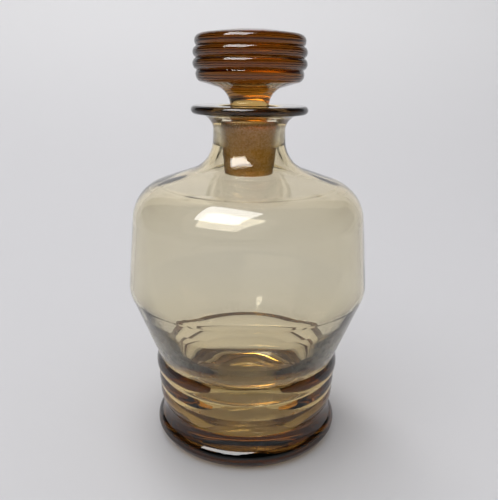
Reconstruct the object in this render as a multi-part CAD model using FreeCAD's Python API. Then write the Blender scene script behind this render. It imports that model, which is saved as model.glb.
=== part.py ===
import FreeCAD, Part
import math
import os

# Carafe of blown glass: a round bottle on a ribbed base with a foot ring, and a
# ribbed stopper whose ground plug rests in the neck.
# Sizes are in millimetres, +Z is up, and the origin is the middle of the resting plane.
# Both pieces are turned about +Z from outlines of radius and height. Heights are
# steps: each one is measured from the end of the form below it.

# --- Foot ring and ribs of the base ---
REST_RING_RADIUS = 30.0
PUNT_DEPTH = 3.0
FOOT_EDGE_RADIUS = 42.6
FOOT_CREST_RADIUS = 47.8
FOOT_CREST_HEIGHT = 5.6
FOOT_EDGE_BULGE = 0.9
FOOT_BACK_RADIUS = 45.5
FOOT_BACK_HEIGHT = 4.4
FOOT_BACK_BULGE = 0.7
FOOT_COVE_RADIUS = 44.0
FOOT_COVE_HEIGHT = 7.6
# Each base rib: its height, the radius of the groove above it, how far it stands out.
BASE_RIBS = ((9.6, 45.8, 1.1), (7.6, 45.9, 0.8), (9.8, 46.1, 1.7))

# --- Body of the bottle ---
BELLY_RADIUS = 60.2
BELLY_RISE = 36.0
BELLY_FILLET = 12.0
SHOULDER_RADIUS = 55.8
WALL_RISE = 48.8
SHOULDER_FILLET = 19.2
SHOULDER_RISE = 13.0
NECK_SPREAD = 1.0
NECK_FILLET = 15.1
NECK_RISE = 23.05
LIP_FILLET = 7.7
LIP_SPREAD = 11.0
LIP_THICKNESS = 3.9

# --- Glass thickness, which grows down the cone and round the base ---
NECK_WALL = 2.8
NECK_ROOT_WALL = 2.4
SHOULDER_WALL = 3.2
BODY_WALL = 2.0
# Each bend of the cone's inside: how far below the belly it is, and the wall there.
CONE_BENDS = ((11.1, 2.3), (23.6, 3.8))
CONE_FOOT_WALL = 6.3
FOOT_WALL = 12.0
FLOOR_THICKNESS = 8.0

# --- Roundings of the inside ---
INNER_NECK_FILLET = 24.0
INNER_BELLY_FILLET = 9.0
CONE_BEND_FILLET = 60.0
CONE_FOOT_FILLET = 25.0
FLOOR_FILLET = 11.0

# --- Ground joint between stopper and neck ---
PLUG_TOP_RADIUS = 14.2
PLUG_TAPER = 0.08
PLUG_LENGTH = 30.7
PLUG_EDGE = 0.6
PLUG_DEPTH_IN_MOUTH = 4.65
SEAT_LENGTH = 11.7
SEAT_DEPTH_IN_MOUTH = 7.15
GROUND_GAP = 0.15
MOUTH_FILLET = 2.0
MOUTH_WIDENING = 0.6

# --- Stopper above the plug ---
STEM_RADIUS = 9.3
STEM_SHOULDER = 2.6
STEM_RISE = 6.55
FLARE_FILLET = 8.6
FLARE_RADIUS = 23.6
FLARE_RISE = 4.1
# Each head rib: its height, the radius of the groove above it, how far it stands out.
HEAD_RIBS = ((5.3, 25.0, 1.1), (5.4, 25.3, 1.7), (5.2, 25.0, 1.6), (5.3, 23.0, 1.8))
HEAD_DOME = 2.2

# The most of a side's room that one rounding takes up.
ROUNDING_SHARE = 0.98


def plane_point(radius, height):
    """A point of the outline's plane, which is the XZ plane."""
    return FreeCAD.Vector(radius, 0, height)


def cap_bulge(radius, rise):
    """Bulge of the arc from a round cap's rim to its pole, as on a sphere centred on the axis."""
    sphere_radius = (radius ** 2 + rise ** 2) / (2 * rise)
    half_chord = math.hypot(radius, rise) / 2
    return sphere_radius - math.sqrt(sphere_radius ** 2 - half_chord ** 2)


def rounded_corner(before, corner, after, radius, room):
    """Start, middle and end of the arc that rounds a corner, kept within the room its sides leave."""
    to_before = before - corner
    to_after = after - corner
    half_angle = to_before.getAngle(to_after) / 2
    setback = min(radius / math.tan(half_angle), room)
    radius = setback * math.tan(half_angle)
    start = corner + FreeCAD.Vector(to_before).normalize() * setback
    end = corner + FreeCAD.Vector(to_after).normalize() * setback
    inward = ((start + end) / 2 - corner).normalize()
    middle = corner + inward * (radius / math.sin(half_angle) - radius)
    return start, middle, end


class Outline:
    """Half of a turned piece's section: straight sides, rounded corners and bulged arcs."""

    def __init__(self):
        self.corners = []

    def side_to(self, radius, height, fillet=0.0):
        """Goes straight to a corner, which may be rounded by a fillet."""
        self.corners.append((plane_point(radius, height), fillet, 0.0))

    def bulge_to(self, radius, height, bulge):
        """Goes to a sharp corner by an arc that stands out to the right by bulge."""
        self.corners.append((plane_point(radius, height), 0.0, bulge))

    def room(self, index, other):
        """How much of the side between two neighbouring corners a rounding at the first may take."""
        length = (self.corners[other][0] - self.corners[index][0]).Length
        shared = self.corners[other][1] > 0
        return ROUNDING_SHARE * (length / 2 if shared else length)

    def edges(self):
        """The outline as lines and arcs, closed along the axis."""
        count = len(self.corners)
        made = []
        leave = self.corners[0][0]
        for index in range(1, count):
            corner, fillet, bulge = self.corners[index]
            if fillet > 0:
                before = self.corners[index - 1][0]
                after = self.corners[index + 1][0]
                room = min(self.room(index, index - 1), self.room(index, index + 1))
                start, middle, end = rounded_corner(before, corner, after, fillet, room)
                made.append(Part.makeLine(leave, start))
                made.append(Part.Arc(start, middle, end).toShape())
                leave = end
            elif bulge != 0:
                along = corner - leave
                outward = FreeCAD.Vector(along.z, 0, -along.x).normalize()
                crest = (leave + corner) / 2 + outward * bulge
                made.append(Part.Arc(leave, crest, corner).toShape())
                leave = corner
            else:
                made.append(Part.makeLine(leave, corner))
                leave = corner
        made.append(Part.makeLine(leave, self.corners[0][0]))
        return made

    def turned(self):
        """The solid that the outline sweeps in a full turn about +Z."""
        face = Part.Face(Part.Wire(self.edges()))
        return face.revolve(FreeCAD.Vector(0, 0, 0), FreeCAD.Vector(0, 0, 1), 360)


def add_ribs(outline, height, ribs):
    """Adds a stack of ribs from the given height and returns the height above them."""
    for rib_height, groove_radius, bulge in ribs:
        height += rib_height
        outline.bulge_to(groove_radius, height, bulge)
    return height


# Heights that both pieces share, from the resting plane up.
foot_back = FOOT_CREST_HEIGHT + FOOT_BACK_HEIGHT
foot_top = foot_back + FOOT_COVE_HEIGHT
cone_foot = foot_top + sum(rib[0] for rib in BASE_RIBS)
belly_height = cone_foot + BELLY_RISE
shoulder_height = belly_height + WALL_RISE
neck_root = shoulder_height + SHOULDER_RISE
lip_underside = neck_root + NECK_RISE
lip_top = lip_underside + LIP_THICKNESS
plug_top = lip_top - PLUG_DEPTH_IN_MOUTH
plug_bottom = plug_top - PLUG_LENGTH
seat_top = lip_top - SEAT_DEPTH_IN_MOUTH
seat_bottom = seat_top - SEAT_LENGTH

# Radii that follow from the joint and its walls.
neck_top_radius = PLUG_TOP_RADIUS + NECK_WALL
neck_root_radius = neck_top_radius + NECK_SPREAD
lip_edge_radius = neck_top_radius + LIP_SPREAD - LIP_THICKNESS / 2


def plug_radius(height):
    """Radius of the stopper's tapered plug at a height."""
    return PLUG_TOP_RADIUS - PLUG_TAPER * (plug_top - height)


def add_outside(outline):
    """The bottle's outer skin, from the middle of its underside up to the lip."""
    outline.side_to(0, PUNT_DEPTH)
    outline.bulge_to(REST_RING_RADIUS, 0, -cap_bulge(REST_RING_RADIUS, PUNT_DEPTH))
    outline.side_to(FOOT_EDGE_RADIUS, 0)
    outline.bulge_to(FOOT_CREST_RADIUS, FOOT_CREST_HEIGHT, FOOT_EDGE_BULGE)
    outline.bulge_to(FOOT_BACK_RADIUS, foot_back, FOOT_BACK_BULGE)
    outline.bulge_to(FOOT_COVE_RADIUS, foot_top, -FOOT_BACK_BULGE)
    add_ribs(outline, foot_top, BASE_RIBS)
    outline.side_to(BELLY_RADIUS, belly_height, BELLY_FILLET)
    outline.side_to(SHOULDER_RADIUS, shoulder_height, SHOULDER_FILLET)
    outline.side_to(neck_root_radius, neck_root, NECK_FILLET)
    outline.side_to(neck_top_radius, lip_underside, LIP_FILLET)
    outline.side_to(lip_edge_radius, lip_underside)
    outline.bulge_to(lip_edge_radius, lip_top, LIP_THICKNESS / 2)


def add_inside(outline):
    """The bottle's inner skin, from the mouth down the ground seat to the floor."""
    seat_top_radius = plug_radius(seat_top) + GROUND_GAP
    seat_bottom_radius = plug_radius(seat_bottom) + GROUND_GAP
    cone_foot_radius = BASE_RIBS[-1][1]
    cone_slope = (BELLY_RADIUS - cone_foot_radius) / BELLY_RISE
    floor = PUNT_DEPTH + FLOOR_THICKNESS
    outline.side_to(seat_top_radius + MOUTH_WIDENING, lip_top, MOUTH_FILLET)
    outline.side_to(seat_top_radius, seat_top)
    outline.side_to(seat_bottom_radius, seat_bottom)
    outline.side_to(neck_root_radius - NECK_ROOT_WALL, neck_root - SHOULDER_WALL, INNER_NECK_FILLET)
    outline.side_to(SHOULDER_RADIUS - BODY_WALL, shoulder_height - SHOULDER_WALL, SHOULDER_FILLET - BODY_WALL)
    outline.side_to(BELLY_RADIUS - BODY_WALL, belly_height, INNER_BELLY_FILLET)
    for drop, wall in CONE_BENDS:
        outline.side_to(BELLY_RADIUS - cone_slope * drop - wall, belly_height - drop, CONE_BEND_FILLET)
    outline.side_to(cone_foot_radius - CONE_FOOT_WALL, cone_foot, CONE_FOOT_FILLET)
    outline.side_to(FOOT_COVE_RADIUS - FOOT_WALL, floor, FLOOR_FILLET)
    outline.side_to(0, floor)


def bottle():
    outline = Outline()
    add_outside(outline)
    add_inside(outline)
    return outline.turned()


def stopper():
    stem_foot = plug_top + STEM_SHOULDER
    flare_foot = lip_top + STEM_RISE
    head_foot = flare_foot + FLARE_RISE
    outline = Outline()
    outline.side_to(0, plug_bottom)
    outline.side_to(plug_radius(plug_bottom), plug_bottom, PLUG_EDGE)
    outline.side_to(PLUG_TOP_RADIUS, plug_top)
    outline.side_to(STEM_RADIUS, stem_foot)
    outline.side_to(STEM_RADIUS, flare_foot, FLARE_FILLET)
    outline.side_to(FLARE_RADIUS, head_foot)
    head_top = add_ribs(outline, head_foot, HEAD_RIBS)
    outline.bulge_to(0, head_top + HEAD_DOME, cap_bulge(HEAD_RIBS[-1][1], HEAD_DOME))
    return outline.turned()


os.makedirs("parts", exist_ok=True)
bottle().exportStep("parts/bottle.step")
stopper().exportStep("parts/stopper.step")
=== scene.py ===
import math
import bpy
from mathutils import Matrix, Vector

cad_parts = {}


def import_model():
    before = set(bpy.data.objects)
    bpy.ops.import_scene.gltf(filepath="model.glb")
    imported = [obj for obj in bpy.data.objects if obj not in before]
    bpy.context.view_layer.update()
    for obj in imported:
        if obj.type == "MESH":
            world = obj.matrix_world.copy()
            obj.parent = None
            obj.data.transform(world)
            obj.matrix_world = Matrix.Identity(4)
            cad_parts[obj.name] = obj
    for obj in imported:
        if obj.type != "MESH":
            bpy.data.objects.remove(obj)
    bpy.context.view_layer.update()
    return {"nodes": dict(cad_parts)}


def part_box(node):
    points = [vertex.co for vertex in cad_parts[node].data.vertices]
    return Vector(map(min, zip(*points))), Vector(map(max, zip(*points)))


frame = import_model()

# The carafe's two glass pieces come from the CAD frame as they are. This script gives them
# their glass, and adds the floor, the backdrop, the light and the camera.
# Lengths are in metres, apart from the lens and its sensor, and angles in degrees. +Z is up,
# and the camera stands on the -Y side.

# --- Camera: how far back from the carafe's axis, how high, its turn; lens and sensor in mm ---
CAMERA_BACK = 0.2805
CAMERA_HEIGHT = 0.1813
CAMERA_PITCH = 16.62
CAMERA_YAW = 0.12
CAMERA_ROLL = 0.70
LENS = 41.20482
SENSOR_WIDTH = 36.0
CLIP_NEAR = 0.01
CLIP_FAR = 50.0

# --- Glass: each metre of it absorbs the density times one minus the tint ---
GLASS_IOR = 1.5
BOTTLE_TINT = (0.86, 0.65, 0.045)
BOTTLE_DENSITY = 58.0
STOPPER_TINT = (0.76, 0.565, 0.07)
STOPPER_DENSITY = 124.0

# A soft step is written as two values: where the share is 0, and where it is 1.
# A zone on the glass has a lowest and a highest height, and an inner and an outer radius.
ZONE_EDGE = 0.0004

# --- Ground glass on the plug, and lightly in the neck's bore round it ---
PLUG_ROUGHNESS = 0.42
PLUG_TINT = (0.50, 0.43, 0.23)
PLUG_END_GAP = 0.0006
PLUG_TOP_DEPTH = 0.0030
PLUG_RADII = (0.0095, 0.0152)
BORE_ROUGHNESS = 0.16
BORE_TINT = (0.86, 0.82, 0.72)
BORE_END_DEPTH = 0.01885
BORE_TOP_DEPTH = 0.00715
BORE_RADII = (0.0100, 0.0158)

# --- Noises: scale per metre, detail, and how far they are drawn out upwards ---
WAVE_NOISE = (22.0, 2.0, 2.5)
GRAIN_NOISE = (3500.0, 2.0, 1.0)
PIT_NOISE = (1100.0, 2.0, 1.0)
CLOUD_NOISE = (260.0, 3.0, 0.4)
FILM_NOISE = (420.0, 4.0, 1.0)

# --- Pits of the ground glass: fine ones, and the clouds that they gather in ---
PIT_STEP = (0.38, 0.62)
CLOUD_STEP = (0.3, 0.7)
PIT_SHARE = 0.6

# --- Relief of the glass: waves, seeds as large as a share of their cells, and grain ---
WAVE_DEPTH = 0.0012
SEED_SCALE = 420.0
SEED_SIZE = 0.14
SEED_SHARE = 0.06
SEED_DEPTH = 0.00005
GRAIN_DEPTH = 0.00006

# --- Surface tints: the thin wall between foot and neck, and the stopper's head ---
BODY_TINT = (0.938, 0.926, 0.872)
BODY_TINT_RISE = (0.040, 0.060)
BODY_TINT_FALL = (0.134, 0.112)
HEAD_TINT = (0.74, 0.72, 0.74)
HEAD_TINT_RISE = (0.1765, 0.1825)

# --- Painted shade on the rims: the edge of the lip, the foot ring, and the foot's sides seen aslant, darkened in the glass's colour where the thick glass looks dark ---
RIM_SHADE_COLOUR = (0.04, 0.025, 0.022)
RIM_EDGE = 0.001
LIP_RIM_DEPTH = 0.0041
LIP_RIM_RADIUS = 0.0250
FOOT_RIM_LOW = 0.0015
FOOT_RIM_HIGH = 0.0132
FOOT_RIM_RADIUS = 0.0430
FLANK_HIGH = 0.0175
FLANK_SLANT = (0.0, 0.38)

# --- Dull film: patchy on the cone, where it shows most at a slant, and even on the wall ---
FILM_COLOUR = (0.70, 0.66, 0.54)
FILM_ROUGHNESS = 0.6
FILM_PATCHES = (0.25, 0.62)
CONE_FILM_RISE = (0.043, 0.047)
CONE_FILM_FALL = (0.080, 0.058)
SLANT_FILM = 0.40
SLANT_FILM_STEP = (0.30, 0.85)
FOOT_FILM = 0.10
FOOT_FILM_FALL = (0.053, 0.046)
WALL_FILM = 0.04
WALL_FILM_RISE = (0.050, 0.085)
WALL_FILM_FALL = (0.145, 0.115)

# --- Floor and backdrop: one sheet that starts to rise behind the carafe ---
FLOOR_COLOUR = (0.65, 0.645, 0.665)
BACKDROP_COLOUR = (0.74, 0.735, 0.75)
BACKDROP_RISE = (0.0, 0.35)
SHEET_ROUGHNESS = 0.9
SWEEP_FRONT = -2.5
SWEEP_SIDE = 1.2
SWEEP_START = 0.30
SWEEP_BEND = 0.90
SWEEP_TOP = 2.5
SWEEP_STEPS = 24
SWEEP_GAP = 0.0002

# --- World: strengths of white, and where the room that the glass shows turns dark ---
WHITE = (1.0, 1.0, 1.0)
FILL_LIGHT = 0.50
PLAIN_BACKGROUND = 0.66
ROOM_WALLS = 0.36
ROOM_CEILING = 0.024
ROOM_STEP = (0.15, 0.35)

# Diffuse Depth counts the matt surfaces that a ray's path has met: below this, it is none.
FIRST_MATT_SURFACE = 0.5

# --- Lamps: place, width and height, watts ---
AIM = (0.0, 0.0, 0.1)
WINDOW_PLACE = (-0.50, -0.75, 1.50)
WINDOW_SIZE = (2.2, 2.2)
WINDOW_POWER = 11.8
GLINT_PLACE = (-0.50, -0.63, 1.62)
GLINT_SIZE = (1.15, 1.25)
GLINT_POWER = 46.0
GLINT_THROUGH = 0.15
BACKDROP_PLACE = (-0.4, 0.75, 1.8)
BACKDROP_AIM = (0.0, 1.0, 0.3)
BACKDROP_SIZE = (2.0, 0.5)
BACKDROP_POWER = 13.0


def feed(tree, socket, value):
    """Sets a socket to a number or a colour, or links another socket to it."""
    if isinstance(value, bpy.types.NodeSocket):
        tree.links.new(value, socket)
    elif isinstance(value, tuple):
        socket.default_value = (*value, 1)
    else:
        socket.default_value = value


def math_node(tree, operation, *values):
    """A math node fed by sockets or numbers, and its result."""
    node = tree.nodes.new("ShaderNodeMath")
    node.operation = operation
    for socket, value in zip(node.inputs, values):
        feed(tree, socket, value)
    return node.outputs[0]


def product(tree, first, second):
    return math_node(tree, "MULTIPLY", first, second)


def larger(tree, first, second):
    return math_node(tree, "MAXIMUM", first, second)


def ramp_node(tree, value, zero, one):
    """A soft step from 0 to 1; it runs downwards where the second value is the lower one."""
    node = tree.nodes.new("ShaderNodeMapRange")
    node.interpolation_type = "SMOOTHSTEP"
    node.inputs["From Min"].default_value = zero
    node.inputs["From Max"].default_value = one
    tree.links.new(value, node.inputs["Value"])
    return node.outputs["Result"]


def between(tree, value, rise, fall):
    """1 between two soft steps, 0 outside them."""
    return product(tree, ramp_node(tree, value, *rise), ramp_node(tree, value, *fall))


def zone_band(tree, value, low, high):
    """1 between two values, with a thin soft edge inside each of them."""
    return between(tree, value, (low, low + ZONE_EDGE), (high, high - ZONE_EDGE))


def mix_colour(tree, share, first, second):
    """The first colour where the share is 0, the second where it is 1; each a colour or a socket."""
    mix = tree.nodes.new("ShaderNodeMix")
    mix.data_type = "RGBA"
    tree.links.new(share, mix.inputs["Factor"])
    for name, colour in (("A", first), ("B", second)):
        socket = [item for item in mix.inputs if item.name == name and item.type == "RGBA"][0]
        feed(tree, socket, colour)
    return [item for item in mix.outputs if item.type == "RGBA"][0]


def mix_shader(tree, share, first, second):
    """The first shader where the share is 0, the second where it is 1."""
    mix = tree.nodes.new("ShaderNodeMixShader")
    for socket, value in zip(mix.inputs, (share, first, second)):
        tree.links.new(value, socket)
    return mix.outputs["Shader"]


def coordinates(tree, space="Object"):
    """The x, y and z of a point; in the world's Generated space, those of a direction."""
    split = tree.nodes.new("ShaderNodeSeparateXYZ")
    place = tree.nodes.new("ShaderNodeTexCoord").outputs[space]
    tree.links.new(place, split.inputs[0])
    return split.outputs


def height_and_radius(tree):
    """How high a point of the glass is, and how far it is from the carafe's axis."""
    x, y, height = coordinates(tree)
    squares = math_node(tree, "ADD", product(tree, x, x), product(tree, y, y))
    return height, math_node(tree, "SQRT", squares)


def facing(tree):
    """0 where the surface is seen straight on, 1 where it is seen edge on."""
    return tree.nodes.new("ShaderNodeLayerWeight").outputs["Facing"]


def noise_node(tree, scale, detail, stretch):
    """Noise in the object's own space; a stretch above 1 draws it out upwards."""
    mapping = tree.nodes.new("ShaderNodeMapping")
    mapping.inputs["Scale"].default_value = (1, 1, 1 / stretch)
    place = tree.nodes.new("ShaderNodeTexCoord").outputs["Object"]
    tree.links.new(place, mapping.inputs["Vector"])
    noise = tree.nodes.new("ShaderNodeTexNoise")
    noise.inputs["Scale"].default_value = scale
    noise.inputs["Detail"].default_value = detail
    tree.links.new(mapping.outputs["Vector"], noise.inputs["Vector"])
    return noise.outputs["Fac"]


def new_material(name):
    material = bpy.data.materials.new(name)
    material.use_nodes = True
    return material


def principled(material):
    return material.node_tree.nodes["Principled BSDF"]


def pit_cover(tree):
    """How densely the ground glass is pitted, from its fine pits and its wider clouds."""
    pits = ramp_node(tree, noise_node(tree, *PIT_NOISE), *PIT_STEP)
    clouds = ramp_node(tree, noise_node(tree, *CLOUD_NOISE), *CLOUD_STEP)
    return math_node(tree, "ADD", product(tree, pits, PIT_SHARE), product(tree, clouds, 1 - PIT_SHARE))


def seeds(tree):
    """1 in the middle of a small bubble, 0 away from it; only a few of the cells hold one."""
    place = tree.nodes.new("ShaderNodeTexCoord").outputs["Object"]
    cells = tree.nodes.new("ShaderNodeTexVoronoi")
    cells.inputs["Scale"].default_value = SEED_SCALE
    tree.links.new(place, cells.inputs["Vector"])
    chance = tree.nodes.new("ShaderNodeSeparateColor")
    tree.links.new(cells.outputs["Color"], chance.inputs["Color"])
    chosen = math_node(tree, "LESS_THAN", chance.outputs["Red"], SEED_SHARE)
    return product(tree, ramp_node(tree, cells.outputs["Distance"], SEED_SIZE, 0.0), chosen)


def surface_relief(tree, ground):
    """Long soft waves and a few seeds all over, and a fine grain where the glass is ground.

    The heights are in metres, so the bump's distance is one metre.
    """
    grain = product(tree, noise_node(tree, *GRAIN_NOISE), ground)
    waves = product(tree, noise_node(tree, *WAVE_NOISE), WAVE_DEPTH)
    height = math_node(tree, "ADD", waves, product(tree, seeds(tree), SEED_DEPTH))
    height = math_node(tree, "ADD", height, product(tree, grain, GRAIN_DEPTH))
    bump = tree.nodes.new("ShaderNodeBump")
    bump.inputs["Distance"].default_value = 1.0
    tree.links.new(height, bump.inputs["Height"])
    return bump.outputs["Normal"]


def rim_shade_share(tree, low, high, inner, slant=None):
    """Share of the painted shade: 1 outside a radius and between two heights, 0 elsewhere; with a slant,
    more where seen aslant.
    """
    height, radius = height_and_radius(tree)
    outside = ramp_node(tree, radius, inner, inner + RIM_EDGE)
    share = product(tree, zone_band(tree, height, low, high), outside)
    if slant:
        share = product(tree, share, ramp_node(tree, facing(tree), *slant))
    return share


def paint_rim_shade(tree, surface, rims):
    """Paints shade into a surface colour on its rims, where the thick glass looks dark."""
    dark = rim_shade_share(tree, *rims[0])
    for rim in rims[1:]:
        dark = larger(tree, dark, rim_shade_share(tree, *rim))
    return mix_colour(tree, dark, surface, RIM_SHADE_COLOUR)


def dull_film(material):
    """Covers the glass thinly with a pale matt film."""
    tree = material.node_tree
    height = coordinates(tree)["Z"]
    slanted = product(tree, ramp_node(tree, facing(tree), *SLANT_FILM_STEP), SLANT_FILM)
    foot = product(tree, ramp_node(tree, height, *FOOT_FILM_FALL), FOOT_FILM)
    patches = ramp_node(tree, noise_node(tree, *FILM_NOISE), *FILM_PATCHES)
    cone = product(tree, between(tree, height, CONE_FILM_RISE, CONE_FILM_FALL), larger(tree, slanted, foot))
    wall = product(tree, between(tree, height, WALL_FILM_RISE, WALL_FILM_FALL), WALL_FILM)
    share = larger(tree, product(tree, cone, patches), wall)
    clear = principled(material).outputs["BSDF"]
    film = tree.nodes.new("ShaderNodeBsdfPrincipled")
    film.inputs["Base Color"].default_value = (*FILM_COLOUR, 1)
    film.inputs["Roughness"].default_value = FILM_ROUGHNESS
    covered = mix_shader(tree, share, clear, film.outputs["BSDF"])
    tree.links.new(covered, tree.nodes["Material Output"].inputs["Surface"])


def smoky_glass(name, tint, density):
    """Clear glass that is darker where it is thicker."""
    material = new_material(name)
    tree = material.node_tree
    shader = principled(material)
    shader.inputs["IOR"].default_value = GLASS_IOR
    shader.inputs["Transmission Weight"].default_value = 1.0
    depth = tree.nodes.new("ShaderNodeVolumeAbsorption")
    depth.inputs["Color"].default_value = (*tint, 1)
    depth.inputs["Density"].default_value = density
    tree.links.new(depth.outputs["Volume"], tree.nodes["Material Output"].inputs["Volume"])
    return material


def grind(material, low, high, inner, outer, roughness, tint):
    """Grinds the glass in one zone, with relief on all of it, and gives the colour of its surface."""
    tree = material.node_tree
    shader = principled(material)
    height, radius = height_and_radius(tree)
    ground = product(tree, zone_band(tree, height, low, high), zone_band(tree, radius, inner, outer))
    tree.links.new(product(tree, ground, roughness), shader.inputs["Roughness"])
    tree.links.new(surface_relief(tree, ground), shader.inputs["Normal"])
    return mix_colour(tree, product(tree, ground, pit_cover(tree)), WHITE, tint)


def bottle_glass(lip_top):
    """The bottle's glass: thin and lightly tinted in the wall, with painted shade on its rims, ground in
    the bore.
    """
    material = smoky_glass("bottle glass", BOTTLE_TINT, BOTTLE_DENSITY)
    tree = material.node_tree
    bore = (lip_top - BORE_END_DEPTH, lip_top - BORE_TOP_DEPTH, *BORE_RADII)
    surface = grind(material, *bore, BORE_ROUGHNESS, BORE_TINT)
    wall = between(tree, coordinates(tree)["Z"], BODY_TINT_RISE, BODY_TINT_FALL)
    surface = mix_colour(tree, wall, surface, BODY_TINT)
    # Painted shade: the lip's edge, the foot ring and the foot's sides seen aslant are darkened in the
    # surface colour.
    lip_shade_zone = (lip_top - LIP_RIM_DEPTH, lip_top + RIM_EDGE, LIP_RIM_RADIUS)
    foot_shade_zone = (FOOT_RIM_LOW, FOOT_RIM_HIGH, FOOT_RIM_RADIUS)
    flank_shade_zone = (FOOT_RIM_LOW, FLANK_HIGH, FOOT_RIM_RADIUS, FLANK_SLANT)
    surface = paint_rim_shade(tree, surface, (lip_shade_zone, foot_shade_zone, flank_shade_zone))
    tree.links.new(surface, principled(material).inputs["Base Color"])
    dull_film(material)
    return material


def stopper_glass(plug_end, lip_top):
    """The stopper's glass: browner and denser, greyer in the head, ground all round the plug."""
    material = smoky_glass("stopper glass", STOPPER_TINT, STOPPER_DENSITY)
    tree = material.node_tree
    plug = (plug_end + PLUG_END_GAP, lip_top - PLUG_TOP_DEPTH, *PLUG_RADII)
    surface = grind(material, *plug, PLUG_ROUGHNESS, PLUG_TINT)
    head = ramp_node(tree, coordinates(tree)["Z"], *HEAD_TINT_RISE)
    surface = mix_colour(tree, head, surface, HEAD_TINT)
    tree.links.new(surface, principled(material).inputs["Base Color"])
    return material


def dress(node, material):
    """Gives a CAD piece its material in all its slots."""
    for slot in frame["nodes"][node].material_slots:
        slot.material = material


def pale_sheet():
    """A plain matt material, a little lighter where the sheet rises behind the carafe."""
    material = new_material("sheet")
    tree = material.node_tree
    shader = principled(material)
    shader.inputs["Roughness"].default_value = SHEET_ROUGHNESS
    rise = ramp_node(tree, coordinates(tree)["Z"], *BACKDROP_RISE)
    colour = mix_colour(tree, rise, FLOOR_COLOUR, BACKDROP_COLOUR)
    tree.links.new(colour, shader.inputs["Base Color"])
    return material


def sweep():
    """The table and the backdrop behind it, one sheet that curves up."""
    path = [(SWEEP_FRONT, 0.0), (SWEEP_START, 0.0)]
    for step in range(1, SWEEP_STEPS + 1):
        angle = math.radians(90 * step / SWEEP_STEPS)
        path.append((SWEEP_START + SWEEP_BEND * math.sin(angle), SWEEP_BEND * (1 - math.cos(angle))))
    path.append((SWEEP_START + SWEEP_BEND, SWEEP_TOP))
    points = [(x, y, z) for y, z in path for x in (-SWEEP_SIDE, SWEEP_SIDE)]
    faces = [(i, i + 1, i + 3, i + 2) for i in range(0, len(points) - 2, 2)]
    mesh = bpy.data.meshes.new("sweep")
    mesh.from_pydata(points, [], faces)
    for polygon in mesh.polygons:
        polygon.use_smooth = True
    mesh.materials.append(pale_sheet())
    sheet = bpy.data.objects.new("sweep", mesh)
    sheet.location = (0, 0, -SWEEP_GAP)
    bpy.context.scene.collection.objects.link(sheet)


def background(tree, strength):
    """White light of a strength, from all round."""
    node = tree.nodes.new("ShaderNodeBackground")
    node.inputs["Color"].default_value = (*WHITE, 1)
    feed(tree, node.inputs["Strength"], strength)
    return node.outputs["Background"]


def still_clear(tree, rays):
    """1 on a ray whose path has met no matt surface, 0 after the first one."""
    return math_node(tree, "LESS_THAN", rays.outputs["Diffuse Depth"], FIRST_MATT_SURFACE)


def world():
    """Even light on all matt surfaces and a plain background behind them.

    What is mirrored in the glass or seen through it is a room, pale at eye level and dark above.
    """
    scene_world = bpy.data.worlds.new("studio")
    bpy.context.scene.world = scene_world
    scene_world.use_nodes = True
    tree = scene_world.node_tree
    tree.nodes.clear()
    above = ramp_node(tree, coordinates(tree, "Generated")["Z"], *ROOM_STEP)
    darker = product(tree, above, ROOM_CEILING - ROOM_WALLS)
    room = background(tree, math_node(tree, "ADD", darker, ROOM_WALLS))
    rays = tree.nodes.new("ShaderNodeLightPath")
    in_glass = larger(tree, rays.outputs["Is Glossy Ray"], rays.outputs["Is Transmission Ray"])
    in_glass = product(tree, in_glass, still_clear(tree, rays))
    light = mix_shader(tree, in_glass, background(tree, FILL_LIGHT), room)
    plain = background(tree, PLAIN_BACKGROUND)
    seen = mix_shader(tree, rays.outputs["Is Camera Ray"], light, plain)
    tree.links.new(seen, tree.nodes.new("ShaderNodeOutputWorld").inputs["Surface"])


def lamp(name, place, aim, size, power, diffuse=True, glossy=True, through=True):
    """An area lamp that the camera doesn't see, and that may spare some kinds of ray."""
    data = bpy.data.lights.new(name, "AREA")
    data.shape = "RECTANGLE"
    data.size, data.size_y = size
    data.energy = power
    light = bpy.data.objects.new(name, data)
    bpy.context.scene.collection.objects.link(light)
    light.location = place
    way = Vector(aim) - Vector(place)
    light.rotation_euler = way.to_track_quat("-Z", "Y").to_euler()
    light.visible_camera = False
    light.visible_diffuse = diffuse
    light.visible_glossy = glossy
    light.visible_transmission = through
    return light


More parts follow.
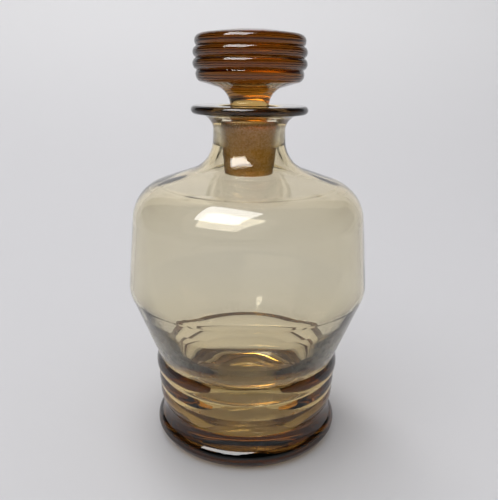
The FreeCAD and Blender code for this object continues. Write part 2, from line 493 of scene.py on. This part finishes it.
def keep_to_glass(light):
    """Dims a lamp where it is seen through glass, and hides it once a path has met a matt surface."""
    light.data.use_nodes = True
    tree = light.data.node_tree
    rays = tree.nodes.new("ShaderNodeLightPath")
    dimmed = product(tree, rays.outputs["Is Transmission Ray"], 1 - GLINT_THROUGH)
    strength = product(tree, still_clear(tree, rays), math_node(tree, "SUBTRACT", 1.0, dimmed))
    tree.links.new(strength, tree.nodes["Emission"].inputs["Strength"])


def camera():
    """The photograph's point of view: from the -Y side, looking down, with a slight roll."""
    data = bpy.data.cameras.new("camera")
    data.sensor_width = SENSOR_WIDTH
    data.lens = LENS
    data.clip_start, data.clip_end = CLIP_NEAR, CLIP_FAR
    eye = bpy.data.objects.new("camera", data)
    bpy.context.scene.collection.objects.link(eye)
    pitch, yaw, roll = (math.radians(angle) for angle in (CAMERA_PITCH, CAMERA_YAW, CAMERA_ROLL))
    ahead = Vector((math.sin(yaw) * math.cos(pitch), math.cos(yaw) * math.cos(pitch), -math.sin(pitch)))
    right = Vector((math.cos(yaw), -math.sin(yaw), 0))
    up = right.cross(ahead)
    side = right * math.cos(roll) + up * math.sin(roll)
    top = up * math.cos(roll) - right * math.sin(roll)
    turn = Matrix((side, top, -ahead)).transposed().to_4x4()
    eye.matrix_world = Matrix.Translation((0, -CAMERA_BACK, CAMERA_HEIGHT)) @ turn
    bpy.context.scene.camera = eye


_, bottle_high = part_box("bottle")
stopper_low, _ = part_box("stopper")
dress("bottle", bottle_glass(bottle_high[2]))
dress("stopper", stopper_glass(stopper_low[2], bottle_high[2]))
sweep()
world()
lamp("window", WINDOW_PLACE, AIM, WINDOW_SIZE, WINDOW_POWER, glossy=False)
keep_to_glass(lamp("glint", GLINT_PLACE, AIM, GLINT_SIZE, GLINT_POWER, diffuse=False))
lamp("backdrop light", BACKDROP_PLACE, BACKDROP_AIM, BACKDROP_SIZE, BACKDROP_POWER,
     glossy=False, through=False)
camera()
scene = bpy.context.scene
scene.view_settings.view_transform = "Standard"
